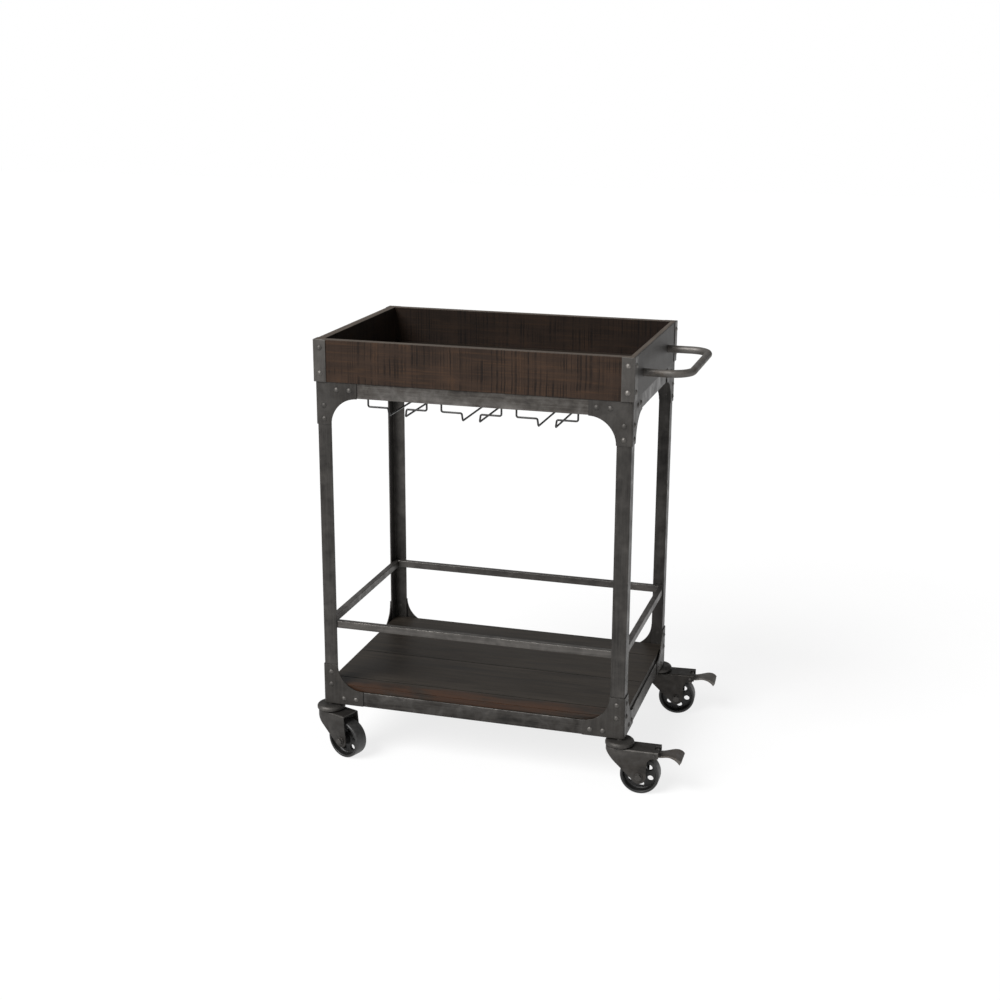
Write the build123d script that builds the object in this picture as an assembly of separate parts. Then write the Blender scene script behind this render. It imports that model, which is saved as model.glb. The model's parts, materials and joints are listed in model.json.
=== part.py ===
from build123d import *
import math
import os

# Bar cart on four swivel casters.  Millimetres, +Z up, floor at z = 0.
# X runs along the long side towards the push handle, Y from front to back.
# The model is laid out about the centre of the steel frame and then moved by
# origin_x, origin_y so that the origin is the middle of the whole footprint.

# ---------------------------------------------------------------- dimensions
overall_height = 915.5          # layout height; the cart stands lift higher
tray_length, tray_depth, tray_height = 671.0, 456.0, 87.4
frame_length, frame_depth = 662.5, 445.0
frame_bottom = 114.4            # underside of legs and bottom rails
angle_leg = 30.0                # leg angle iron flange
angle_t = 3.0                   # angle iron thickness
rail_h = 32.0                   # visible height of top and bottom rails
rail_w = 30.0                   # horizontal flange of the rails

wood_t = 18.0                   # tray front, back and left boards
end_board_t = 10.5              # tray right board, clad with a steel plate
end_plate_t = 1.5
floor_t = 10.0                  # tray floor board
bracket_t, bracket_w = 1.5, 27.0
shelf_t = 12.5

gusset_size, gusset_t, gusset_r = 90.0, 2.0, 57.0
rivet_head_r, rivet_head_h, rivet_r = 5.6, 2.8, 2.5

handle_r, handle_half_width, handle_reach, handle_bend = 8.0, 132.5, 92.0, 42.0
handle_drop = 2.3                # handle axis below the middle of the tray's end

guard_z, guard_s, guard_h, guard_wall = 288.9, 12.5, 15.5, 1.2

wire_r = 2.0
rack_pitch, rack_half, rack_step, rack_slot_half = 157.8, 63.3, 20.0, 17.8
rack_shift = 0.5
rack_upper_z, rack_lower_z, rack_top_z = 780.1, 764.8, 816.1

stem_inset = 9.3                # stem axis to the outer faces of a leg
wheel_r, wheel_w = 41.3, 32.0
axle_z = 39.8                   # height of the axles in the layout
lift = wheel_r - axle_z         # whole cart raised so that the wheels stand on z = 0
trail = 45.5                    # stem axis to wheel axle, level distance
fork_half, fork_t = 24.0, 2.5
fork_top = 98.6
cup_r, cup_z0, cup_z1 = 30.5, 99.4, 110.6
pin_x, pin_z, pin_r = 76.0, 90.0, 3.0
# heading of each caster's trailing wheel at rest, and angle of its web holes
caster_yaw = {"front_left": -20.0, "front_right": 1.0, "rear_right": 4.0, "rear_left": 21.0}
hole_phase = {"front_left": -49.0, "front_right": -24.0, "rear_right": -15.0, "rear_left": 8.0}

origin_x, origin_y = 52.1, 0.9  # middle of the bounding box, frame coordinates

tray_top = overall_height
tray_bottom = tray_top - tray_height
hl, hd = tray_length / 2, tray_depth / 2
fl, fd = frame_length / 2, frame_depth / 2
rail_top_z0 = tray_bottom - rail_h
shelf_z0 = frame_bottom + rail_h

parts = {}


def box(x0, x1, y0, y1, z0, z1):
    return Pos((x0 + x1) / 2, (y0 + y1) / 2, (z0 + z1) / 2) * Box(x1 - x0, y1 - y0, z1 - z0)


def rod(p0, p1, r):
    a, b = Vector(*p0), Vector(*p1)
    d = b - a
    return Plane(origin=a, z_dir=d) * Cylinder(r, d.length, align=(Align.CENTER, Align.CENTER, Align.MIN))


def bent(points, r, bend):
    """Round bar swept along straight runs joined by tangent arcs."""
    pts = [Vector(*p) for p in points]
    if not isinstance(bend, (list, tuple)):
        bend = [bend] * (len(pts) - 2)
    edges, cur = [], pts[0]
    for i in range(1, len(pts) - 1):
        a = (pts[i - 1] - pts[i]).normalized()
        b = (pts[i + 1] - pts[i]).normalized()
        half = math.acos(max(-1, min(1, a.dot(b)))) / 2
        cut = bend[i - 1] / math.tan(half)
        t0, t1 = pts[i] + a * cut, pts[i] + b * cut
        bis = (a + b).normalized()
        mid = pts[i] + bis * (bend[i - 1] / math.sin(half) - bend[i - 1])
        edges += [Line(cur, t0), ThreePointArc(t0, mid, t1)]
        cur = t1
    edges.append(Line(cur, pts[-1]))
    path = Wire([e.edge() if hasattr(e, "edge") else e for e in edges])
    return sweep(Plane(origin=pts[0], z_dir=pts[1] - pts[0]) * Circle(r), path=path)


def one(shape):
    s = shape.solids()
    return s[0] if len(s) == 1 else Compound(children=list(s))


def group(shapes):
    out = []
    for s in shapes:
        out += list(s.solids())
    return Compound(children=out)


# corner frames: outer corner at the local origin, flanges along local +x, +y
corners = {
    "front_left": Location((-fl, -fd, 0), (0, 0, 0)),
    "front_right": Location((fl, -fd, 0), (0, 0, 90)),
    "rear_right": Location((fl, fd, 0), (0, 0, 180)),
    "rear_left": Location((-fl, fd, 0), (0, 0, 270)),
}

# ---------------------------------------------------------------- legs
leg_2d = Rectangle(angle_leg, angle_leg, align=(Align.MIN, Align.MIN)) - Pos(angle_t, angle_t) * Rectangle(
    angle_leg, angle_leg, align=(Align.MIN, Align.MIN))
leg_2d = fillet(leg_2d.vertices().sort_by_distance((0, 0, 0))[0:1], 3.0)
leg_local = Pos(0, 0, frame_bottom) * extrude(leg_2d, tray_bottom - frame_bottom)

# ------------------------------------------------------- gussets and rivets
size = gusset_size


def wing_outline():
    """Gusset wing in (along, down): full height on the leg, short on the rail."""
    cx = cz = size
    s = math.sqrt(0.5)
    lip = size - gusset_r
    return (Polyline((0, 0), (size, 0), (size, lip)) + ThreePointArc((size, lip), (cx - gusset_r * s, cz - gusset_r * s), (lip, size))
            + Polyline((lip, size), (0, size), (0, 0)))


def gusset_local():
    """Folded plate wrapping the outer faces of a corner, arms pointing down (-z)."""
    face = make_face(wing_outline())
    # wing on the x-z plane, outer face at y = -gusset_t
    wx = Plane(origin=(-gusset_t, -gusset_t, 0), x_dir=(1, 0, 0), z_dir=(0, 1, 0)) * extrude(face, gusset_t)
    wy = Plane(origin=(-gusset_t, -gusset_t, 0), x_dir=(0, 1, 0), z_dir=(-1, 0, 0)) * extrude(face, -gusset_t)
    return wx, wy


wx, wy = gusset_local()
g = wx + wy
g = g.solids()[0]
bb = g.bounding_box()
g_down = bb.max.Z < size / 2          # True when the arms point down
if not g_down:
    g = mirror(g, about=Plane.XY).solids()[0]
edge = [e for e in g.edges().filter_by(Axis.Z) if abs(e.center().X + gusset_t) < 0.01 and abs(e.center().Y + gusset_t) < 0.01]
g = fillet(edge, 4.5).solids()[0]

# rivets of one wing: (along, from the rail side end)
rail_rivet_top, rail_rivet_bottom = 16.0, 13.5
rivets_top = [(15.5, 50.0), (15.5, 78.0), (44.0, rail_rivet_top), (71.5, rail_rivet_top)]
rivets_bottom = [(15.5, 45.0), (15.5, 73.5), (44.0, rail_rivet_bottom), (71.5, rail_rivet_bottom)]


def rivet_solid(p, n, grip):
    """Dome-headed rivet: head base at p, shank along -n for grip."""
    pl = Plane(origin=p, z_dir=n)
    h, rr = rivet_head_h, rivet_head_r
    R = (rr * rr + h * h) / (2 * h)
    dome = Pos(0, 0, h - R) * Sphere(R) & Pos(0, 0, h / 2) * Box(4 * rr, 4 * rr, h)
    shank = Cylinder(rivet_r, grip, align=(Align.CENTER, Align.CENTER, Align.MAX))
    return (pl * (dome + shank)).solids()[0]


def rivet_set(points):
    rivets, holes = [], []
    for u, v in points:
        for q, n in (((u, -gusset_t, -v), (0, -1, 0)), ((-gusset_t, u, -v), (-1, 0, 0))):
            rivets.append(rivet_solid(q, n, gusset_t + angle_t))
            a = Vector(*q) + Vector(*n) * 1.0
            b = Vector(*q) - Vector(*n) * (gusset_t + angle_t + 1.0)
            holes.append(rod(tuple(a), tuple(b), rivet_r))
    plate = g
    for h in holes:
        plate = plate - h
    return rivets, holes, plate.solids()[0]


rivets_local, holes_local, g_cut = rivet_set(rivets_top)
riv_b, holes_b, g_b = rivet_set(rivets_bottom)

top_at = Location((0, 0, tray_bottom))
flip = Location((0, 0, frame_bottom))
g_up = mirror(g_b, about=Plane.XY).solids()[0]
riv_up = [mirror(r, about=Plane.XY).solids()[0] for r in riv_b]
holes_up = [mirror(h, about=Plane.XY) for h in holes_b]

leg_cut = leg_local
for h in holes_local:
    leg_cut = leg_cut - top_at * h
for h in holes_up:
    leg_cut = leg_cut - flip * h
leg_cut = leg_cut.solids()[0]

for name, loc in corners.items():
    parts["leg_" + name] = loc * leg_cut
parts["top_gussets"] = group([loc * (top_at * g_cut) for loc in corners.values()])
parts["bottom_gussets"] = group([loc * (flip * g_up) for loc in corners.values()])
parts["gusset_rivets"] = group([loc * (top_at * r) for loc in corners.values() for r in rivets_local]
                               + [loc * (flip * r) for loc in corners.values() for r in riv_up])


# ---------------------------------------------------------------- rails
def rail(length, z0, screws):
    """Angle rail along X: vertical flange on y = 0, level flange on top."""
    v = box(-length / 2, length / 2, 0, angle_t, z0, z0 + rail_h)
    h = box(-length / 2, length / 2, 0, rail_w, z0 + rail_h - angle_t, z0 + rail_h)
    r = (v + h).solids()[0]
    e = [k for k in r.edges().filter_by(Axis.X) if abs(k.center().Y) < 0.01 and abs(k.center().Z - z0 - rail_h) < 0.01]
    r = fillet(e, 1.5).solids()[0]
    for x in screws:
        r = r - rod((x, 17, z0 + rail_h - angle_t - 1), (x, 17, z0 + rail_h + 1), 2.1)
    return r.solids()[0]


def rail_holes(r, half, up):
    """Rivet holes at both ends of a rail whose corners are at +-half."""
    for s in (-1, 1):
        for u in (44.0, 71.5):
            z = (tray_bottom - rail_rivet_top) if up else (frame_bottom + rail_rivet_bottom)
            r = r - rod((s * (half - u), -3, z), (s * (half - u), angle_t + 1, z), rivet_r)
    return r.solids()[0]


screw_x = (-200.0, 0.0, 200.0)
long_len, short_len = frame_length - 2 * angle_leg, frame_depth - 2 * angle_leg
for tag, z0, up in (("top", rail_top_z0, True), ("bottom", frame_bottom, False)):
    long_r = rail_holes(rail(long_len, z0, screw_x), fl, up)
    short_r = rail_holes(rail(short_len, z0, ()), fd, up)
    parts[tag + "_rail_front"] = Location((0, -fd, 0)) * long_r
    parts[tag + "_rail_back"] = Location((0, fd, 0), (0, 0, 180)) * long_r
    parts[tag + "_rail_left"] = Location((-fl, 0, 0), (0, 0, -90)) * short_r
    parts[tag + "_rail_right"] = Location((fl, 0, 0), (0, 0, 90)) * short_r

# ---------------------------------------------------------------- tray
oy, ox = hd - bracket_t, hl - bracket_t       # outer faces of the boards
ix0, ix1 = -ox + wood_t, ox - end_plate_t - end_board_t
iy = oy - wood_t


def soft(solid, r=0.8):
    try:
        return fillet(solid.edges(), r).solids()[0]
    except Exception:
        return solid.solids()[0]


front = soft(box(-ox, ox - end_plate_t, -oy, -iy, tray_bottom, tray_top))
back = soft(box(-ox, ox - end_plate_t, iy, oy, tray_bottom, tray_top))
left = soft(box(-ox, ix0, -iy, iy, tray_bottom, tray_top))
right = soft(box(ix1, ox - end_plate_t, -iy, iy, tray_bottom, tray_top))
plate = box(ox - end_plate_t, ox, -oy, oy, tray_bottom, tray_top)
floor = box(ix0, ix1, -iy, iy, tray_bottom, tray_bottom + floor_t)

# corner brackets: folded strips over the full tray height, two rivets a face
br_2d = Rectangle(bracket_w, bracket_w, align=(Align.MIN, Align.MIN)) - Pos(bracket_t, bracket_t) * Rectangle(
    bracket_w, bracket_w, align=(Align.MIN, Align.MIN))
br_2d = fillet(br_2d.vertices().sort_by_distance((0, 0, 0))[0:1], 1.4)
bracket = Pos(0, 0, tray_bottom) * extrude(br_2d, tray_height)
tray_corners = {
    "front_left": Location((-hl, -hd, 0), (0, 0, 0)),
    "front_right": Location((hl, -hd, 0), (0, 0, 90)),
    "rear_right": Location((hl, hd, 0), (0, 0, 180)),
    "rear_left": Location((-hl, hd, 0), (0, 0, 270)),
}
t_riv, t_hole = [], []
for v in (17.0, 70.0):
    for q, n in (((14.0, 0.0, tray_top - v), (0, -1, 0)), ((0.0, 14.0, tray_top - v), (-1, 0, 0))):
        t_riv.append(rivet_solid(q, n, 8.0))
        a = Vector(*q) + Vector(*n)
        b = Vector(*q) - Vector(*n) * 8.0
        t_hole.append(rod(tuple(a), tuple(b), rivet_r))
for h in t_hole:
    bracket = bracket - h
bracket = bracket.solids()[0]
all_t_holes = [loc * h for loc in tray_corners.values() for h in t_hole]


def drill(solid, holes):
    bb = solid.bounding_box()
    for h in holes:
        hb = h.bounding_box()
        if (hb.min.X < bb.max.X and hb.max.X > bb.min.X and hb.min.Y < bb.max.Y and hb.max.Y > bb.min.Y
                and hb.min.Z < bb.max.Z and hb.max.Z > bb.min.Z):
            solid = solid - h
    return solid.solids()[0]


for name, loc in tray_corners.items():
    parts["tray_bracket_" + name] = loc * bracket
parts["tray_rivets"] = group([loc * r for loc in tray_corners.values() for r in t_riv])

# push handle: round bar bent to a U, bolted through the right end
hz = (tray_top + tray_bottom) / 2 - handle_drop
hx = hl + handle_reach - bracket_t
handle = bent([(ox, -handle_half_width, hz), (hx, -handle_half_width, hz), (hx, handle_half_width, hz), (ox, handle_half_width, hz)],
              handle_r, handle_bend)
bolts, bolt_holes = [], []
for s in (-1, 1):
    y = s * handle_half_width
    shank = rod((ix1 - 0.0, y, hz), (ox + 20, y, hz), 3.0)
    wash = rod((ix1 - 1.2, y, hz), (ix1, y, hz), 8.0)
    head = rod((ix1 - 4.7, y, hz), (ix1 - 1.2, y, hz), 5.5)
    head = fillet(head.edges().group_by(Axis.X)[0], 2.0)
    bolts.append((shank + wash + head).solids()[0])
    bolt_holes.append(rod((ix1 - 6, y, hz), (ox + 20, y, hz), 3.0))
parts["tray_front_board"] = drill(front, all_t_holes)
parts["tray_back_board"] = drill(back, all_t_holes)
parts["tray_left_board"] = drill(left, all_t_holes)
parts["tray_right_board"] = drill(right, all_t_holes + bolt_holes)
parts["tray_end_plate"] = drill(plate, all_t_holes + bolt_holes)
parts["handle_bar"] = drill(handle, bolt_holes)
parts["handle_bolts"] = group(bolts)


# screws that hold the boards down to the rails
def screw(x, y, z):
    """Pan-head wood screw driven up from below; z is the flange's underside."""
    head = Pos(x, y, z) * Cylinder(4.4, 2.4, align=(Align.CENTER, Align.CENTER, Align.MAX))
    head = fillet(head.edges().group_by(Axis.Z)[0], 1.2)
    return (head + rod((x, y, z), (x, y, z + 11.0), 2.1)).solids()[0]


sy = fd - 17.0
tray_scr = [screw(x, y, tray_bottom - angle_t) for x in screw_x for y in (-sy, sy)]
shelf_scr = [screw(x, y, shelf_z0 - angle_t) for x in screw_x for y in (-sy, sy)]
scr_h = lambda z: [rod((x, y, z - 1), (x, y, z + 11.0), 2.1) for x in screw_x for y in (-sy, sy)]
parts["tray_floor_board"] = drill(floor, scr_h(tray_bottom - angle_t))
parts["tray_screws"] = group(tray_scr)
parts["shelf_screws"] = group(shelf_scr)

# ---------------------------------------------------------------- shelf
sx0 = fl - angle_t - 0.5
sy0 = fd - angle_t - 0.5
joints_y = (-sy0, -175.5, -16.0, 143.5, sy0)
for i in range(4):
    y0, y1 = joints_y[i], joints_y[i + 1]
    b = box(-sx0, sx0, y0, y1, shelf_z0, shelf_z0 + shelf_t)
    b = chamfer([e for e in b.edges().filter_by(Axis.X) if e.center().Z > shelf_z0 + 1], 1.0)
    parts["shelf_plank_%d" % (i + 1)] = drill(b.solids()[0], scr_h(shelf_z0 - angle_t))

# ---------------------------------------------------------------- guard rails
gx, gy = fl - angle_t, fd - angle_t
for name, y0 in (("front", -gy), ("back", gy - guard_s)):
    o = box(-gx, gx, y0, y0 + guard_s, guard_z, guard_z + guard_h)
    i = box(-gx - 1, gx + 1, y0 + guard_wall, y0 + guard_s - guard_wall, guard_z + guard_wall, guard_z + guard_h - guard_wall)
    o = fillet(o.edges().filter_by(Axis.X), 1.0)
    parts["guard_rail_" + name] = (o - i).solids()[0]
for name, x0 in (("left", -gx), ("right", gx - guard_s)):
    o = box(x0, x0 + guard_s, -gy + guard_s, gy - guard_s, guard_z, guard_z + guard_h)
    i = box(x0 + guard_wall, x0 + guard_s - guard_wall, -gy, gy, guard_z + guard_wall, guard_z + guard_h - guard_wall)
    o = fillet(o.edges().filter_by(Axis.Y), 1.0)
    parts["guard_rail_" + name] = (o - i).solids()[0]

# ---------------------------------------------------------------- stemware racks
wy_ = fd - angle_t - wire_r
for name, xc in (("left", rack_shift - rack_pitch), ("centre", rack_shift), ("right", rack_shift + rack_pitch)):
    wires = []
    for s in (-1, 1):
        pts = [(xc + s * rack_half, -wy_, rack_top_z), (xc + s * rack_half, -wy_, rack_upper_z),
               (xc + s * rack_step, -wy_, rack_upper_z), (xc + s * rack_slot_half, -wy_, rack_lower_z),
               (xc + s * rack_slot_half, wy_, rack_lower_z), (xc + s * rack_step, wy_, rack_upper_z),
               (xc + s * rack_half, wy_, rack_upper_z), (xc + s * rack_half, wy_, rack_top_z)]
        wires.append(bent(pts, wire_r, [4, 3.5, 4, 4, 3.5, 4]))
    parts["stemware_rack_" + name] = group(wires)

# ---------------------------------------------------------------- casters
ax_z = axle_z


def hexagon(y0, y1, r, x, z, turn):
    pl = Plane(origin=(x, y0, z), x_dir=(math.cos(turn), 0, math.sin(turn)), z_dir=(0, 1, 0))
    return pl * extrude(RegularPolygon(r, 6), y1 - y0)


def stem_local():
    """Threaded stem, collar, swivel cup and king pin in one forged piece."""
    top = frame_bottom + 19.7
    pts = [(0, top), (4.4, top), (5.0, top - 0.6), (5.0, frame_bottom), (8.0, frame_bottom), (8.0, cup_z1 + 0.8),
           (9.2, cup_z1), (cup_r - 6.5, cup_z1), (cup_r - 3.0, cup_z1 - 1.0), (cup_r - 0.9, cup_z1 - 3.0), (cup_r, cup_z1 - 5.0),
           (cup_r, cup_z0 + 1.8), (cup_r - 4.5, cup_z0 + 1.8), (cup_r - 4.5, cup_z0), (5.0, cup_z0),
           (5.0, 95.2), (9.5, 95.2), (9.5, 92.6), (7.5, 90.8), (0, 90.8)]
    prof = make_face(Plane.XZ * Polyline(*[(a, b) for a, b in pts], close=True))
    return revolve(prof, Axis.Z).solids()[0]


def fork_local(brake):
    """Pressed-steel fork, an inverted channel closed round the front."""
    end = 85.0 if brake else 60.5
    fr = fork_half
    cx = fr - 29.0

    def stadium(half, x_front, x_back):
        c = x_front + half
        return make_face(Line((c, half), (x_back, half)) + Line((x_back, half), (x_back, -half)) + Line((x_back, -half), (c, -half))
                         + ThreePointArc((c, -half), (x_front, 0), (c, half)))

    outer = extrude(stadium(fr, cx - fr, end), fork_top)
    top_edges = [e for e in outer.edges() if abs(e.center().Z - fork_top) < 0.01 and e.center().X < end - 0.5]
    outer = fillet(top_edges, 4.0)
    inner = extrude(stadium(fr - fork_t, cx - fr + fork_t, end + 5), fork_top - fork_t)
    shell = outer - inner
    # side profile that trims the channel
    R = 15.0
    s = math.sqrt(0.5)
    p = [(-40, fork_top + 5), (-40, 91.0), (-27.0, 88.0)]
    # lower-left tangent from (-27, 88) to the axle boss
    dx, dz = trail + 27.0, ax_z - 88.0
    dist = math.hypot(dx, dz)
    ang = math.atan2(dz, dx) - math.asin(R / dist)
    tl = math.sqrt(dist * dist - R * R)
    t = (-27.0 + tl * math.cos(ang), 88.0 + tl * math.sin(ang))
    right = (trail + R, ax_z)
    low = (trail + R * math.cos(math.radians(-60)), ax_z + R * math.sin(math.radians(-60)))
    if brake:
        tail = [(trail + R, 62.0), (62.5, 75.5), (67.0, 81.0), (73.0, 83.2), (end + 3, 85.5), (end + 3, fork_top + 5)]
    else:
        tail = [(trail + R - 5.5, 93.0), (trail + R - 6.0, fork_top + 5)]
    prof = (Polyline((-40, fork_top + 5), (-40, 88.0), (-27.0, 88.0), t) + ThreePointArc(t, low, right)
            + Polyline(right, *tail, (-40, fork_top + 5)))
    face = make_face(Plane.XZ * prof)
    trim = extrude(face, 60, both=True)
    f = (shell & trim).solids()[0]
    f = f - rod((0, 0, 80), (0, 0, 110), 5.06)
    f = f - rod((trail, -30, ax_z), (trail, 30, ax_z), 4.03)
    if brake:
        f = f - rod((pin_x, -30, pin_z), (pin_x, 30, pin_z), pin_r)
        f = f - box(74.5, 95, -8, 8, fork_top - 6, fork_top + 2)
    # raised race on the top plate
    race = Pos(0, 0, fork_top - 0.5) * (Cylinder(15.5, 1.0, align=(Align.CENTER, Align.CENTER, Align.MIN))
                                         - Cylinder(11.0, 4.0))
    f = f.solids()[0] + race
    return f.solids()[0]


def wheel_local(phase):
    hw = wheel_w / 2
    hub = fork_half - fork_t - 1.5
    r = wheel_r
    pts = [(6.05, -hub), (10.0, -hub), (11.0, 1.0 - hub), (12.0, -4.5), (14.0, -3.0), (r - 9.7, -3.0), (r - 7.7, -4.5), (r - 6.3, -hw + 1.0),
           (r - 5.3, -hw), (r - 2.3, -hw), (r - 0.5, -hw + 1.6), (r, -hw + 4.5), (r, hw - 4.5), (r - 0.5, hw - 1.6), (r - 2.3, hw),
           (r - 5.3, hw), (r - 6.3, hw - 1.0), (r - 7.7, 4.5), (r - 9.7, 3.0), (14.0, 3.0), (12.0, 4.5), (11.0, hub - 1.0), (10.0, hub), (6.05, hub)]
    face = make_face(Polyline(*pts, close=True))          # x = radius, y = across
    w = revolve(face, Axis.Y)
    for i in range(6):
        a = math.radians(phase + 60 * i)
        x, z = 23.6 * math.cos(a), 23.6 * math.sin(a)
        w = w - rod((x, -10, z), (x, 10, z), 6.4)
    return (Pos(trail, 0, ax_z) * w).solids()[0]


def axle_local():
    """Axle bolt with washers and nut, and the sleeve clamped between the sides."""
    s = fork_half - fork_t
    bolt = rod((trail, -fork_half - 1.5, ax_z), (trail, fork_half + 8.5, ax_z), 4.0)
    head = hexagon(-fork_half - 6.8, -fork_half - 1.5, 7.5, trail, ax_z, 0.3)
    cone = Plane(origin=(trail, -fork_half - 6.8, ax_z), z_dir=(0, 1, 0)) * Cone(6.2, 11.5, 5.3, align=(Align.CENTER, Align.CENTER, Align.MIN))
    head = head & cone
    w1 = rod((trail, -fork_half - 1.5, ax_z), (trail, -fork_half, ax_z), 8.8) - rod((trail, -30, ax_z), (trail, 0, ax_z), 4.0)
    w2 = rod((trail, fork_half, ax_z), (trail, fork_half + 1.5, ax_z), 8.8) - rod((trail, 0, ax_z), (trail, 40, ax_z), 4.0)
    nut = hexagon(fork_half + 1.5, fork_half + 7.5, 7.5, trail, ax_z, 0.1) - rod((trail, 0, ax_z), (trail, 40, ax_z), 4.0)
    sleeve = rod((trail, -s, ax_z), (trail, s, ax_z), 6.0) - rod((trail, -30, ax_z), (trail, 30, ax_z), 4.0)
    return group([(bolt + head).solids()[0], w1, w2, nut, sleeve])


def lever_local():
    """Brake lever: hub on the pin, cam shoe below it and a foot pedal."""
    hub = rod((pin_x, -15, pin_z), (pin_x, 15, pin_z), 5.2)
    cam = make_face(Plane.XZ * Polyline((pin_x - 4.5, pin_z), (pin_x - 4.4, pin_z - 15.9), (pin_x - 1.0, pin_z - 16.8), (pin_x + 3.0, pin_z - 16.0), (pin_x + 5.0, pin_z - 10.0),
                                        (pin_x + 5.2, pin_z), close=True))
    cam = extrude(cam, 9, both=True)
    top = Spline((pin_x + 2, 88.6), (92, 88.4), (104, 91.0), (117, 91.6), (127, 89.0), (133.5, 83.6))
    bot = Spline((129.6, 77.4), (123.6, 84.0), (116, 87.7), (104, 88.0), (92, 85.4), (pin_x + 2, 85.4))
    side = make_face(Plane.XZ * (top + Line((133.5, 83.6), (129.6, 77.4)) + bot + Line((pin_x + 2, 85.4), (pin_x + 2, 88.6))))
    ped = extrude(side, 28, both=True)
    plan = make_face(Polyline((pin_x, -15.0), (92, -15.5), (100, -16.2), (106, -18.0), (114, -22.0), (122, -24.6), (130, -25.0), (133.0, -24.0), (134.5, -21.5), (135.5, 0),
                              (134.5, 21.5), (133.0, 24.0), (130, 25.0), (122, 24.6), (114, 22.0), (106, 18.0), (100, 16.2), (92, 15.5), (pin_x, 15.0), close=True))
    plan = Pos(0, 0, 60) * extrude(plan, 60)
    ped = ped & plan
    lev = hub + cam + ped
    lev = lev - rod((pin_x, -30, pin_z), (pin_x, 30, pin_z), pin_r + 0.05)
    return lev.solids()[0]


block = box(angle_t, 21.0, angle_t, 21.0, frame_bottom, frame_bottom + 20.0)
blocks, stems = [], []
stem = stem_local()
forks = {True: fork_local(True), False: fork_local(False)}
axle, lever = axle_local(), lever_local()
pin = rod((pin_x, -fork_half - 1.2, pin_z), (pin_x, fork_half + 1.2, pin_z), pin_r)
pin = fillet(pin.edges(), 0.6).solids()[0]
blk = (block - rod((stem_inset, stem_inset, frame_bottom - 1), (stem_inset, stem_inset, 140), 5.02)).solids()[0]
for name, loc in corners.items():
    blocks.append(loc * blk)
    c = loc * Location((stem_inset, stem_inset, 0))
    at = Location((c.position.X, c.position.Y, 0), (0, 0, caster_yaw[name]))
    stems.append(at * stem)
    brake = name.endswith("right")
    parts["caster_fork_" + name] = at * forks[brake]
    parts["caster_wheel_" + name] = at * wheel_local(hole_phase[name])
    parts["caster_axle_" + name] = group([at * s for s in axle.solids()])
    if brake:
        parts["brake_lever_" + name] = at * lever
        parts["brake_pin_" + name] = at * pin
parts["caster_blocks"] = group(blocks)
parts["caster_stems"] = group(stems)

# ---------------------------------------------------------------- write
os.makedirs("parts", exist_ok=True)
shift = Location((-origin_x, -origin_y, lift))
for name, shape in parts.items():
    export_step(shift * shape, "parts/%s.step" % name)
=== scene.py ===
import bpy
import json
import math
from mathutils import Matrix, Vector


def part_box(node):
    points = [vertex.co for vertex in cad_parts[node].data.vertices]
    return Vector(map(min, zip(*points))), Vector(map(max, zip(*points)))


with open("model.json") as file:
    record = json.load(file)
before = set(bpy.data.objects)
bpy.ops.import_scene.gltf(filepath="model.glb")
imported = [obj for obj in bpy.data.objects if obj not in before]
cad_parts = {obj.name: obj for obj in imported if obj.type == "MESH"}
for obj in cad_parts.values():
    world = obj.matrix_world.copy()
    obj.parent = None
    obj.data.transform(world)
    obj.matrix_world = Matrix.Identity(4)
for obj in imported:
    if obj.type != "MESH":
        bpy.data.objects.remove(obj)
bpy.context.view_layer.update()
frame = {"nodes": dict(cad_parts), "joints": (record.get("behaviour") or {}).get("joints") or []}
nodes = frame["nodes"]


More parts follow.
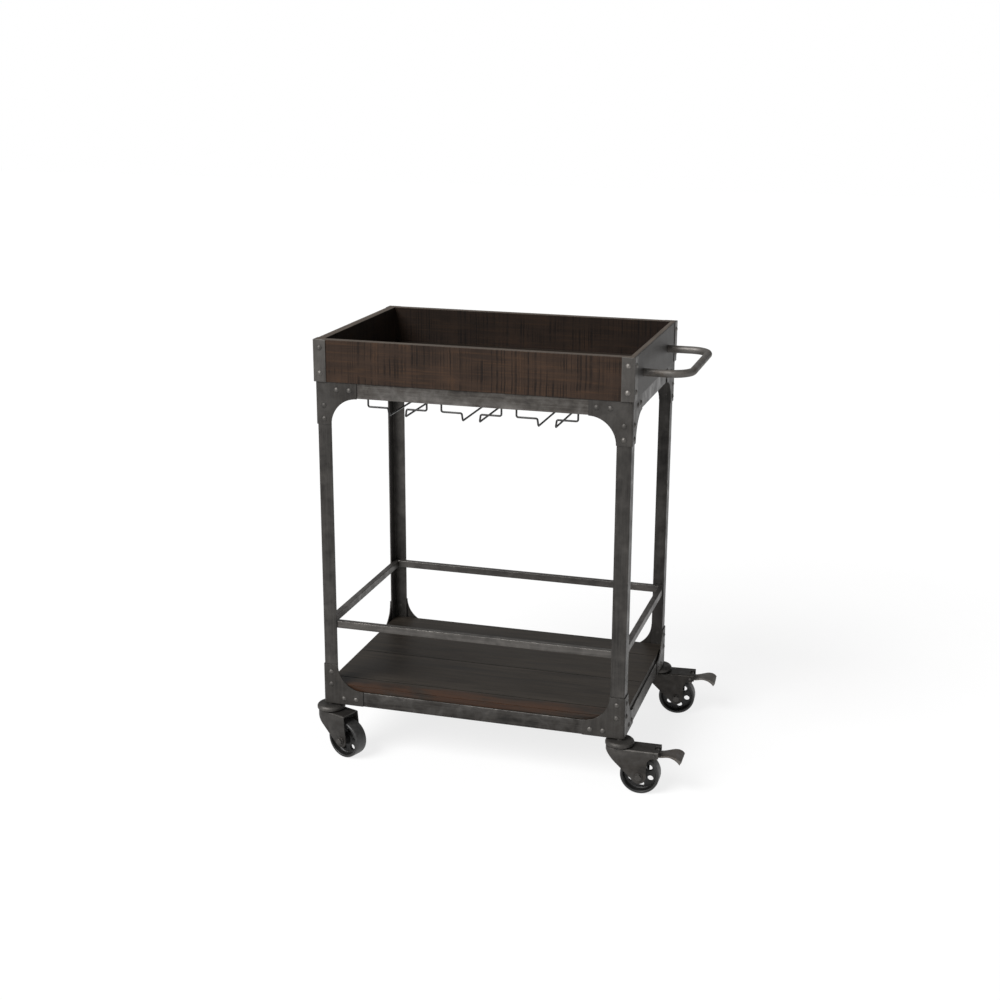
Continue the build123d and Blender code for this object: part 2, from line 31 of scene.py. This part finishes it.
# ------------------------------------------------------------ node helpers
class Graph:
    """A small wrapper that builds one material's node tree."""

    def __init__(self, name):
        self.mat = bpy.data.materials.new(name)
        self.mat.use_nodes = True
        self.nt = self.mat.node_tree
        self.nt.nodes.clear()
        self.out = self.nt.nodes.new("ShaderNodeOutputMaterial")
        self.bsdf = self.nt.nodes.new("ShaderNodeBsdfPrincipled")
        self.nt.links.new(self.bsdf.outputs[0], self.out.inputs[0])
        self.co = self.nt.nodes.new("ShaderNodeTexCoord").outputs["Object"]

    def put(self, socket, value):
        if isinstance(value, bpy.types.NodeSocket):
            self.nt.links.new(value, socket)
        elif hasattr(socket.default_value, "__len__") and not isinstance(value, (int, float)):
            v = tuple(value)
            n = len(socket.default_value)
            socket.default_value = v + (1.0,) * (n - len(v)) if len(v) < n else v[:n]
        else:
            socket.default_value = value

    def math(self, op, a, b=0.0, clamp=False):
        n = self.nt.nodes.new("ShaderNodeMath")
        n.operation = op
        n.use_clamp = clamp
        self.put(n.inputs[0], a)
        self.put(n.inputs[1], b)
        return n.outputs[0]

    def scaled(self, vec, scale, loc=(0, 0, 0)):
        n = self.nt.nodes.new("ShaderNodeMapping")
        self.put(n.inputs["Vector"], vec)
        self.put(n.inputs["Scale"], scale)
        self.put(n.inputs["Location"], loc)
        return n.outputs[0]

    def noise(self, vec, scale, detail=4.0, rough=0.55, distort=0.0):
        n = self.nt.nodes.new("ShaderNodeTexNoise")
        self.put(n.inputs["Vector"], vec)
        self.put(n.inputs["Scale"], scale)
        self.put(n.inputs["Detail"], detail)
        self.put(n.inputs["Roughness"], rough)
        self.put(n.inputs["Distortion"], distort)
        return n.outputs["Fac"]

    def line_noise(self, w, scale, detail=3.0, rough=0.6):
        n = self.nt.nodes.new("ShaderNodeTexNoise")
        n.noise_dimensions = "1D"
        self.put(n.inputs["W"], w)
        self.put(n.inputs["Scale"], scale)
        self.put(n.inputs["Detail"], detail)
        self.put(n.inputs["Roughness"], rough)
        return n.outputs["Fac"]

    def axis(self, i, vec=None):
        n = self.nt.nodes.new("ShaderNodeSeparateXYZ")
        self.put(n.inputs[0], self.co if vec is None else vec)
        return n.outputs[i]

    def ramp(self, fac, stops, smooth=False):
        n = self.nt.nodes.new("ShaderNodeValToRGB")
        if smooth:
            n.color_ramp.interpolation = "EASE"
        e = n.color_ramp.elements
        while len(e) > 1:
            e.remove(e[-1])
        e[0].position, e[0].color = stops[0][0], self.rgba(stops[0][1])
        for p, c in stops[1:]:
            k = e.new(p)
            k.color = self.rgba(c)
        self.put(n.inputs[0], fac)
        return n.outputs[0]

    @staticmethod
    def rgba(c):
        return (c, c, c, 1.0) if isinstance(c, (int, float)) else tuple(c) + (1.0,)

    def mix(self, fac, a, b, blend="MIX"):
        n = self.nt.nodes.new("ShaderNodeMix")
        n.data_type = "RGBA"
        n.blend_type = blend
        n.clamp_result = True
        self.put(n.inputs[0], fac)
        self.put(n.inputs[6], a if isinstance(a, bpy.types.NodeSocket) else self.rgba(a))
        self.put(n.inputs[7], b if isinstance(b, bpy.types.NodeSocket) else self.rgba(b))
        return n.outputs[2]

    def bump(self, height, strength, distance, normal=None):
        n = self.nt.nodes.new("ShaderNodeBump")
        self.put(n.inputs["Height"], height)
        self.put(n.inputs["Strength"], strength)
        self.put(n.inputs["Distance"], distance)
        if normal is not None:
            self.put(n.inputs["Normal"], normal)
        return n.outputs[0]

    def edges(self, radius):
        """(rounded normal, 0..1 mask that is high along sharp convex or concave edges)"""
        b = self.nt.nodes.new("ShaderNodeBevel")
        b.samples = 6
        b.inputs["Radius"].default_value = radius
        g = self.nt.nodes.new("ShaderNodeNewGeometry")
        d = self.nt.nodes.new("ShaderNodeVectorMath")
        d.operation = "DOT_PRODUCT"
        self.put(d.inputs[0], b.outputs[0])
        self.put(d.inputs[1], g.outputs["Normal"])
        m = self.math("SUBTRACT", 1.0, d.outputs["Value"], clamp=True)
        return b.outputs[0], self.math("MULTIPLY", m, 6.0, clamp=True)

    def finish(self, color, rough, normal=None, metallic=0.0, specular=0.5, coat=0.0, coat_rough=0.2, aniso=0.0):
        b = self.bsdf.inputs
        self.put(b["Base Color"], color)
        self.put(b["Roughness"], rough)
        b["Metallic"].default_value = metallic
        b["Specular IOR Level"].default_value = specular
        b["Coat Weight"].default_value = coat
        b["Coat Roughness"].default_value = coat_rough
        b["Anisotropic"].default_value = aniso
        if normal is not None:
            self.put(b["Normal"], normal)
        return self.mat


def tint(c, k):
    return tuple(min(1.0, v * k) for v in c)


# ------------------------------------------------------------ materials
def steel(name, base, shift=(0, 0, 0), run=2, metallic=0.75, rough=0.46, spread=0.5, worn=1.6, edge=0.0012, warm=0.0, streaky=0.30, calm=1.0, crevice_grime_and_shade=None):
    """Aged dark steel: cloudy patina, streaks along the bar, fine pitting, rubbed edges."""
    g = Graph(name)
    squeeze = [9.0, 9.0, 9.0]
    squeeze[run] = 2.2
    cloud = g.noise(g.scaled(g.co, squeeze, shift), 1.0, 6.0, 0.62, 0.7)
    blot = g.noise(g.scaled(g.co, (34, 34, 34), shift), 1.0, 5.0, 0.6, 0.4)
    thin = [260.0, 260.0, 260.0]
    thin[run] = 9.0
    streak = g.noise(g.scaled(g.co, thin, shift), 1.0, 3.0, 0.6)
    grit = g.noise(g.scaled(g.co, (900, 900, 900), shift), 1.0, 2.0, 0.7)
    mott = g.math("ADD", g.math("MULTIPLY", cloud, 0.55), g.math("MULTIPLY", blot, 0.45))
    lo, hi = 1.0 - spread, 1.0 + spread
    warmer = (base[0] * (1 + warm), base[1], base[2] * (1 - warm))
    col = g.ramp(mott, [(0.38, tint(base, lo)), (0.46, tint(warmer, 0.5 + lo / 2)), (0.53, base), (0.62, tint(base, hi))])
    col = g.mix(g.math("MULTIPLY", g.ramp(streak, [(0.42, 0.0), (0.66, 1.0)]), streaky), col, tint(base, hi * 1.05))
    col = g.mix(g.ramp(grit, [(0.60, 0.0), (0.74, 0.55)]), col, tint(base, lo * 0.8))
    # darker in crevices and round rivet heads from an ambient-occlusion mask: painted contact shade, partly grime
    if crevice_grime_and_shade is not None:
        ao = g.nt.nodes.new("ShaderNodeAmbientOcclusion")
        ao.samples = 8
        ao.inputs["Distance"].default_value = crevice_grime_and_shade
        col = g.mix(g.ramp(ao.outputs["AO"], [(0.45, 0.75), (0.95, 0.0)]), col, tint(base, 0.25))
    soft, rim = g.edges(edge)
    broken = g.ramp(blot, [(0.40, 0.15), (0.60, 1.0)])
    wear = g.math("MULTIPLY", rim, broken, clamp=True)
    col = g.mix(g.math("MULTIPLY", wear, 0.55), col, tint(base, worn))
    r = g.math("ADD", rough, g.math("MULTIPLY", g.math("SUBTRACT", blot, 0.5), -0.45 * calm))
    r = g.math("ADD", r, g.math("MULTIPLY", g.math("SUBTRACT", grit, 0.5), 0.25), clamp=True)
    h = g.math("ADD", g.math("MULTIPLY", blot, 0.6), g.math("MULTIPLY", grit, 0.4))
    n = g.bump(h, 0.22 * calm, 0.0006, soft)
    n = g.bump(streak, 0.06, 0.0004, n)
    return g.finish(col, r, n, metallic=metallic)


def sawn(name, u, seed, bright=1.0, rim_wear_and_top_light=1.9, inner_shade_face=None, inner_shade_keep=0.6):
    """Rough-sawn dark board. u is the axis along the board; saw marks stand across it."""
    g = Graph(name)
    un = g.axis(u)
    zz = g.axis(2)
    wob = g.noise(g.scaled(g.co, (5, 5, 26), (seed, 0, 0)), 1.0, 3.0, 0.6)
    w = g.math("ADD", g.math("ADD", un, seed), g.math("MULTIPLY", wob, 0.0045))
    fine = g.line_noise(w, 420.0, 2.0, 0.7)
    mid = g.line_noise(w, 190.0, 2.0, 0.6)
    swing = g.math("MULTIPLY", g.line_noise(w, 60.0, 3.0, 0.6), 22.0)
    tooth = g.math("SINE", g.math("ADD", g.math("MULTIPLY", w, 2.0 * math.pi / 0.0098), swing))
    broad = g.line_noise(w, 17.0, 3.0, 0.6)
    along = [260.0, 260.0, 260.0]
    along[u] = 9.0
    grain = g.noise(g.scaled(g.co, along, (0, seed, 0)), 1.0, 4.0, 0.62, 0.25)
    lines = [60.0, 60.0, 60.0]
    lines[u] = 2.0
    fig = g.noise(g.scaled(g.co, lines, (seed, 3, 0)), 1.0, 5.0, 0.65, 0.8)
    blot = g.noise(g.scaled(g.co, (13, 13, 19), (seed, 7, 1)), 1.0, 4.0, 0.6)
    dark, base, lit = tint((0.0075, 0.0050, 0.0040), bright), tint((0.0250, 0.0142, 0.0090), bright), tint((0.0580, 0.0295, 0.0145), bright)
    tone = g.math("ADD", g.math("MULTIPLY", broad, 0.35), g.math("MULTIPLY", blot, 0.65))
    col = g.ramp(tone, [(0.28, tint(base, 0.62)), (0.47, base), (0.58, tint(base, 1.28)), (0.76, lit)])
    col = g.mix(g.math("MULTIPLY", g.ramp(fig, [(0.38, 1.0), (0.52, 0.0)]), 0.20), col, dark)
    col = g.mix(g.math("MULTIPLY", g.ramp(grain, [(0.50, 0.0), (0.66, 1.0)]), 0.38), col, tint(lit, 0.95))
    cut = g.ramp(g.math("ADD", g.math("MULTIPLY", tooth, 0.10), mid), [(0.36, 1.0), (0.45, 0.0)])
    cut2 = g.ramp(fine, [(0.34, 1.0), (0.50, 0.0)])
    patch = g.ramp(g.noise(g.scaled(g.co, (16, 16, 30), (seed, 1, 4)), 1.0, 3.0, 0.55), [(0.40, 0.18), (0.60, 1.0)])
    marks = g.math("MULTIPLY", g.math("ADD", g.math("MULTIPLY", cut, 0.95), g.math("MULTIPLY", cut2, 0.55), clamp=True), patch)
    col = g.mix(g.math("MULTIPLY", marks, 0.85), col, tint(dark, 0.9))
    # inner faces of the tray walls darkened towards black: painted shade inside the tray
    if inner_shade_face is not None:
        face = g.axis(inner_shade_face[0], g.nt.nodes.new("ShaderNodeTexCoord").outputs["Normal"])
        col = g.mix(g.math("MULTIPLY", g.ramp(g.math("MULTIPLY", face, inner_shade_face[1]), [(0.4, 0.0), (0.7, 1.0)]), 1.0 - inner_shade_keep), col, (0.0, 0.0, 0.0))
    # rubbed edges as wear; the upward-facing rim tops are painted lighter, a painted top light mixed with the grain
    soft, rim = g.edges(0.0014)
    col = g.mix(g.math("MULTIPLY", rim, 0.55), col, tint((0.085, 0.066, 0.052), rim_wear_and_top_light * 0.55))
    top = g.ramp(zz, [(0.0, 0.0), (1.0, 1.0)])
    nz = g.nt.nodes.new("ShaderNodeTexCoord").outputs["Normal"]
    up = g.ramp(g.axis(2, nz), [(0.80, 0.0), (0.95, 1.0)])
    lit_rim_zone = g.math("GREATER_THAN", zz, 0.9165)
    rim_top_light_col = g.mix(g.ramp(grain, [(0.35, 0.0), (0.70, 1.0)]), tint((0.062, 0.050, 0.041), rim_wear_and_top_light * 0.5), tint((0.105, 0.086, 0.070), rim_wear_and_top_light * 0.5))
    col = g.mix(g.math("MULTIPLY", up, lit_rim_zone), col, rim_top_light_col)
    rough = g.math("ADD", 0.60, g.math("MULTIPLY", marks, 0.20), clamp=True)
    h = g.math("SUBTRACT", g.math("ADD", g.math("MULTIPLY", grain, 0.35), g.math("MULTIPLY", fig, 0.25)), g.math("MULTIPLY", marks, 0.65))
    n = g.bump(h, 0.55, 0.0007, soft)
    return g.finish(col, rough, n, specular=0.15)


def planed(name, seed, base, front_edge=None, rough=0.36, lit=1.5):
    """Planed, stained board with its grain along X and a satin lacquer."""
    g = Graph(name)
    fig = g.noise(g.scaled(g.co, (2.2, 46, 46), (seed, seed * 1.7, 0)), 1.0, 6.0, 0.62, 0.9)
    grain = g.noise(g.scaled(g.co, (9, 420, 420), (seed, 0, 2)), 1.0, 4.0, 0.65, 0.15)
    pores = g.noise(g.scaled(g.co, (30, 1500, 1500), (0, seed, 2)), 1.0, 2.0, 0.6)
    blot = g.noise(g.scaled(g.co, (5, 9, 9), (seed, 2, 1)), 1.0, 4.0, 0.6)
    col = g.ramp(fig, [(0.34, tint(base, 0.40)), (0.46, tint(base, 0.85)), (0.55, tint(base, 1.1)), (0.68, tint(base, lit))])
    col = g.mix(g.math("MULTIPLY", g.ramp(blot, [(0.35, 0.0), (0.68, 1.0)]), 0.30), col, tint(base, lit * 0.9))
    col = g.mix(g.math("MULTIPLY", g.ramp(grain, [(0.36, 1.0), (0.52, 0.0)]), 0.75), col, tint(base, 0.30))
    col = g.mix(g.math("MULTIPLY", g.ramp(pores, [(0.30, 1.0), (0.42, 0.0)]), 0.5), col, tint(base, 0.30))
    soft, rim = g.edges(0.0012)
    up = g.axis(2, g.nt.nodes.new("ShaderNodeTexCoord").outputs["Normal"])
    eased = g.math("MULTIPLY", g.math("GREATER_THAN", up, 0.3), g.math("LESS_THAN", up, 0.93))
    col = g.mix(g.math("MULTIPLY", eased, 0.9), col, tint(base, 0.12))
    if front_edge is not None:
        y = g.axis(1)
        ragged = g.noise(g.scaled(g.co, (5, 60, 60), (3, 1, 0)), 1.0, 5.0, 0.7, 0.6)
        wav = g.math("ADD", y, g.math("MULTIPLY", g.math("SUBTRACT", ragged, 0.5), 0.10))
        near = g.ramp(g.math("MULTIPLY", g.math("SUBTRACT", wav, front_edge), 16.0), [(0.0, 1.0), (0.30, 0.75), (0.70, 0.0)])
        patchy = g.ramp(g.noise(g.scaled(g.co, (7, 20, 20), (9, 4, 2)), 1.0, 4.0, 0.6, 0.4), [(0.42, 0.04), (0.60, 1.0)])
        streaky = g.ramp(grain, [(0.30, 0.30), (0.62, 1.0)])
        col = g.mix(g.math("MULTIPLY", g.math("MULTIPLY", near, streaky), g.math("MULTIPLY", patchy, 0.95)), col, (0.056, 0.0225, 0.0095))
        face = g.axis(1, g.nt.nodes.new("ShaderNodeTexCoord").outputs["Normal"])
        col = g.mix(g.math("MULTIPLY", g.math("LESS_THAN", face, -0.5), 0.40), col, (0.004, 0.003, 0.0025))
    r = g.math("ADD", rough, g.math("MULTIPLY", g.math("SUBTRACT", fig, 0.5), 0.22))
    r = g.math("ADD", r, g.math("MULTIPLY", g.math("SUBTRACT", blot, 0.5), 0.20), clamp=True)
    r = g.math("ADD", r, g.math("MULTIPLY", eased, 0.5), clamp=True)
    h = g.math("ADD", g.math("MULTIPLY", grain, 0.6), g.math("MULTIPLY", pores, 0.4))
    n = g.bump(h, 0.20, 0.0003, soft)
    n = g.bump(fig, 0.08, 0.0010, n)
    return g.finish(col, r, n, specular=0.19)


def moulded(name, base, centre, axis_turn, tread_r):
    """Moulded dark wheel: scuffed tread, smooth sides."""
    g = Graph(name)
    scuff = g.noise(g.scaled(g.co, (160, 160, 160), (1, 2, 3)), 1.0, 5.0, 0.65, 0.3)
    cloud = g.noise(g.scaled(g.co, (28, 28, 28), (5, 2, 3)), 1.0, 4.0, 0.6)
    grit = g.noise(g.scaled(g.co, (1100, 1100, 1100), (0, 0, 3)), 1.0, 2.0, 0.7)
    # distance from the axle line picks out the tread
    p = g.nt.nodes.new("ShaderNodeVectorMath")
    p.operation = "SUBTRACT"
    g.put(p.inputs[0], g.co)
    p.inputs[1].default_value = centre
    dot = g.nt.nodes.new("ShaderNodeVectorMath")
    dot.operation = "DOT_PRODUCT"
    g.put(dot.inputs[0], p.outputs[0])
    dot.inputs[1].default_value = axis_turn
    sc = g.nt.nodes.new("ShaderNodeVectorMath")
    sc.operation = "SCALE"
    sc.inputs[0].default_value = axis_turn
    g.put(sc.inputs["Scale"], dot.outputs["Value"])
    q = g.nt.nodes.new("ShaderNodeVectorMath")
    q.operation = "SUBTRACT"
    g.put(q.inputs[0], p.outputs[0])
    g.put(q.inputs[1], sc.outputs[0])
    ln = g.nt.nodes.new("ShaderNodeVectorMath")
    ln.operation = "LENGTH"
    g.put(ln.inputs[0], q.outputs[0])
    rad = ln.outputs["Value"]
    tread = g.math("MULTIPLY", g.math("SUBTRACT", rad, tread_r - 0.0024), 900.0, clamp=True)
    web = g.math("LESS_THAN", rad, tread_r - 0.0072)
    side = g.ramp(cloud, [(0.3, tint(base, 0.35)), (0.7, tint(base, 0.7))])
    col = g.mix(tread, side, g.ramp(scuff, [(0.32, tint(base, 1.3)), (0.70, tint(base, 2.6))]))
    col = g.mix(web, col, g.ramp(scuff, [(0.3, (0.006, 0.006, 0.006)), (0.7, (0.016, 0.0155, 0.015))]))
    col = g.mix(g.ramp(grit, [(0.62, 0.0), (0.75, 0.6)]), col, tint(base, 0.5))
    soft, rim = g.edges(0.0010)
    col = g.mix(g.math("MULTIPLY", rim, 0.12), col, tint(base, 1.5))
    r = g.math("ADD", 0.46, g.math("MULTIPLY", g.math("SUBTRACT", scuff, 0.5), 0.4), clamp=True)
    n = g.bump(scuff, 0.18, 0.0006, soft)
    n = g.bump(grit, 0.10, 0.0003, n)
    return g.finish(col, r, n, specular=0.4)


STEEL = (0.066, 0.0615, 0.0570)
mats = {}


def use(name, mat):
    o = nodes[name]
    o.data.materials.clear()
    o.data.materials.append(mat)
    for p in o.data.polygons:
        p.material_index = 0


for name in sorted(nodes):
    if name.startswith("leg_"):
        # per-leg darkness factors on one steel: lit and shaded copies, painted light and shade
        k = {"leg_front_left": 0.76, "leg_front_right": 0.80, "leg_rear_right": 0.66, "leg_rear_left": 0.80}[name]
        m = mats.setdefault(name, steel(name + "_steel", tint(STEEL, k), (0.3, 1.1, k), run=2))
    elif name.startswith(("top_rail_front", "top_rail_back", "bottom_rail_front", "bottom_rail_back")):
        # top rails lighter (1.38) and bottom rails darker (0.66) on one steel: painted light and shade
        key = name[:3] + "_rail_x"
        m = mats.setdefault(key, steel(key, tint(STEEL, 1.38 if key[0] == "t" else 0.66), (2.3, 0.1, 1.4 if key[0] == "t" else 5.0), run=0, rough=0.46, spread=0.80, warm=0.04))
    elif name.startswith(("top_rail", "bottom_rail")):
        m = mats.setdefault("rail_y", steel("rail_y_steel", tint(STEEL, 0.8), (4.3, 2.1, 0.4), run=1, rough=0.44))
    elif name in ("top_gussets", "bottom_gussets"):
        m = mats.setdefault("gusset", steel("gusset_plate", tint(STEEL, 0.68), (7.3, 4.1, 1.4), run=2, spread=0.42, rough=0.50, worn=1.3, warm=0.03, crevice_grime_and_shade=0.004))
    elif name.startswith("tray_bracket"):
        m = mats.setdefault("bracket", steel("bracket_plate", tint(STEEL, 1.12), (1.3, 9.1, 2.4), run=2, spread=0.35))
    elif name in ("gusset_rivets", "tray_rivets"):
        m = mats.setdefault(name, steel(name + "_steel", tint(STEEL, 1.9 if name[0] == "t" else 1.2), (0.9, 0.2, 0.4), run=2, metallic=0.7, rough=0.52, spread=0.5, worn=1.3, edge=0.0005, crevice_grime_and_shade=0.003))
    elif name == "tray_end_plate":
        m = mats.setdefault(name, steel("end_plate_satin", (0.0432, 0.0400, 0.0365), (3.9, 0.2, 1.4), run=1, metallic=0.7, rough=0.55, spread=0.05, worn=1.2, streaky=0.05, calm=0.12))
    elif name in ("tray_front_board", "tray_back_board"):
        m = mats.setdefault(name, sawn(name + "_wood", 0, 1.7 if "front" in name else 6.3, inner_shade_face=(1, 1.0 if "front" in name else -1.0), inner_shade_keep=0.50))
    elif name in ("tray_left_board", "tray_right_board"):
        m = mats.setdefault(name, sawn(name + "_wood", 1, 3.1 if "left" in name else 8.2, inner_shade_face=(0, 1.0 if "left" in name else -1.0), inner_shade_keep=0.40))
    elif name == "tray_floor_board":
        m = mats.setdefault(name, planed(name + "_wood", 4.4, (0.020, 0.0150, 0.0120), rough=0.42))
    elif name.startswith("shelf_plank"):
        i = int(name[-1])
        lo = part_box(name)[0]
        m = mats.setdefault(name, planed(name + "_wood", 1.3 * i + 0.4, tint((0.0235, 0.0192, 0.0150), (1.0, 1.06, 0.95, 1.03)[i - 1]), front_edge=lo.y if i == 1 else None, rough=0.46))
    elif name.startswith("guard_rail"):
        m = mats.setdefault("guard_" + name[-5:], steel(name + "_steel", tint(STEEL, 1.36), (5.3, 3.1, 0.4), run=0 if name.endswith(("front", "back")) else 1, rough=0.42))
    elif name.startswith("stemware"):
        m = mats.setdefault("wire", steel("wire_black", (0.018, 0.0175, 0.017), (2, 2, 2), run=1, metallic=0.3, rough=0.38, worn=2.5))
    elif name == "handle_bar":
        m = mats.setdefault(name, steel("handle_steel", tint(STEEL, 1.55), (6, 2, 2), run=1, metallic=0.6, rough=0.56, spread=0.35, warm=0.08))
    elif name in ("handle_bolts", "tray_screws", "shelf_screws", "caster_stems") or name.startswith(("caster_axle", "brake_pin")):
        m = mats.setdefault("bolt", steel("bolt_steel", tint(STEEL, 0.85), (1, 6, 3), run=2, metallic=0.7, rough=0.55, spread=0.4, worn=1.3))
    elif name == "caster_blocks":
        m = mats.setdefault("block", steel("block_steel", STEEL, (1, 6, 9), run=2))
    elif name.startswith("caster_fork"):
        # per-caster darkness factors on one steel: lit and shaded copies, painted light and shade
        k = {"front_left": 0.50, "front_right": 0.68, "rear_right": 0.56, "rear_left": 0.58}[name[12:]]
        m = mats.setdefault(name, steel(name + "_steel", tint(STEEL, k), (8, 6, k), run=0, rough=0.50, spread=0.5, worn=1.5, streaky=0.12, warm=0.05))
    elif name.startswith("brake_lever"):
        m = mats.setdefault("brake", steel("brake_steel", tint(STEEL, 1.6), (8, 1, 5), run=0, rough=0.48, spread=0.4, warm=0.08, worn=2.2))
    elif name.startswith("caster_wheel"):
        joint = [j for j in frame["joints"] if j["name"] == "wheel_spin_" + name[len("caster_wheel_"):]][0]
        m = moulded(name + "_tyre", (0.0165, 0.0163, 0.0160), tuple(joint["pos_m"]), tuple(joint["axis"]), 0.0413)
    else:
        raise SystemExit("no material for " + name)
    use(name, m)

# ------------------------------------------------------------ stage
WORLD_DIM = 0.16
floor_mesh = bpy.data.meshes.new("floor")
S = 14.0
floor_mesh.from_pydata([(-S, -S, 0), (S, -S, 0), (S, S, 0), (-S, S, 0)], [], [(0, 1, 2, 3)])
floor = bpy.data.objects.new("stage_floor", floor_mesh)
bpy.context.scene.collection.objects.link(floor)
g = Graph("stage_paper")
paper = g.noise(g.scaled(g.co, (2, 2, 2)), 1.0, 3.0, 0.5)
g.bsdf.inputs["Emission Color"].default_value = (1.0, 1.0, 1.0, 1.0)
g.bsdf.inputs["Emission Strength"].default_value = 0.80
floor_mesh.materials.append(g.finish(g.ramp(paper, [(0.3, (0.17, 0.17, 0.17)), (0.7, (0.18, 0.18, 0.18))]), 0.75, specular=0.1))

world = bpy.data.worlds.new("studio")
bpy.context.scene.world = world
world.use_nodes = True
wt = world.node_tree
bg = wt.nodes["Background"]
bg.inputs[0].default_value = (1.0, 1.0, 1.0, 1.0)
path = wt.nodes.new("ShaderNodeLightPath")
level = wt.nodes.new("ShaderNodeMapRange")
level.inputs["To Min"].default_value = WORLD_DIM
level.inputs["To Max"].default_value = 1.0
wt.links.new(path.outputs["Is Camera Ray"], level.inputs["Value"])
wt.links.new(level.outputs[0], bg.inputs[1])


def area(name, at, look, w, h, power, color=(1, 1, 1)):
    light = bpy.data.lights.new(name, "AREA")
    light.shape = "RECTANGLE"
    light.size, light.size_y, light.energy, light.color = w, h, power, color
    o = bpy.data.objects.new(name, light)
    bpy.context.scene.collection.objects.link(o)
    o.location = at
    o.rotation_euler = (Vector(look) - Vector(at)).to_track_quat("-Z", "Y").to_euler()
    return o


def sun(name, to, strength, angle):
    light = bpy.data.lights.new(name, "SUN")
    light.energy, light.angle = strength, math.radians(angle)
    o = bpy.data.objects.new(name, light)
    bpy.context.scene.collection.objects.link(o)
    o.rotation_euler = Vector(to).to_track_quat("-Z", "Y").to_euler()
    return o


sun("key", (0.52, 0.80, -0.82), 4.6, 38.0)
sun("fill", (-0.75, 0.55, -0.45), 0.5, 60.0)
sun("behind", (0.25, -0.80, -0.50), 0.32, 90.0)

# ------------------------------------------------------------ camera
yaw, pitch, roll = 0.284912, 0.280870, 0.004397
d = Vector((-math.sin(yaw) * math.cos(pitch), math.cos(yaw) * math.cos(pitch), -math.sin(pitch)))
r = Vector((math.cos(yaw), math.sin(yaw), 0.0))
u = r.cross(d)
c, s = math.cos(roll), math.sin(roll)
r2, u2 = c * r + s * u, -s * r + c * u
cam = bpy.data.cameras.new("camera")
cam.lens, cam.sensor_width, cam.sensor_fit = 56.462, 36.0, "HORIZONTAL"
cam.clip_start, cam.clip_end = 0.05, 60.0
camo = bpy.data.objects.new("camera", cam)
bpy.context.scene.collection.objects.link(camo)
at = Vector((0.8702, -3.1572, 1.49013))
camo.matrix_world = Matrix(((r2.x, u2.x, -d.x, at.x), (r2.y, u2.y, -d.y, at.y), (r2.z, u2.z, -d.z, at.z), (0, 0, 0, 1)))
bpy.context.scene.camera = camo
bpy.context.scene.view_settings.view_transform = "Standard"
bpy.context.scene.view_settings.look = "None"
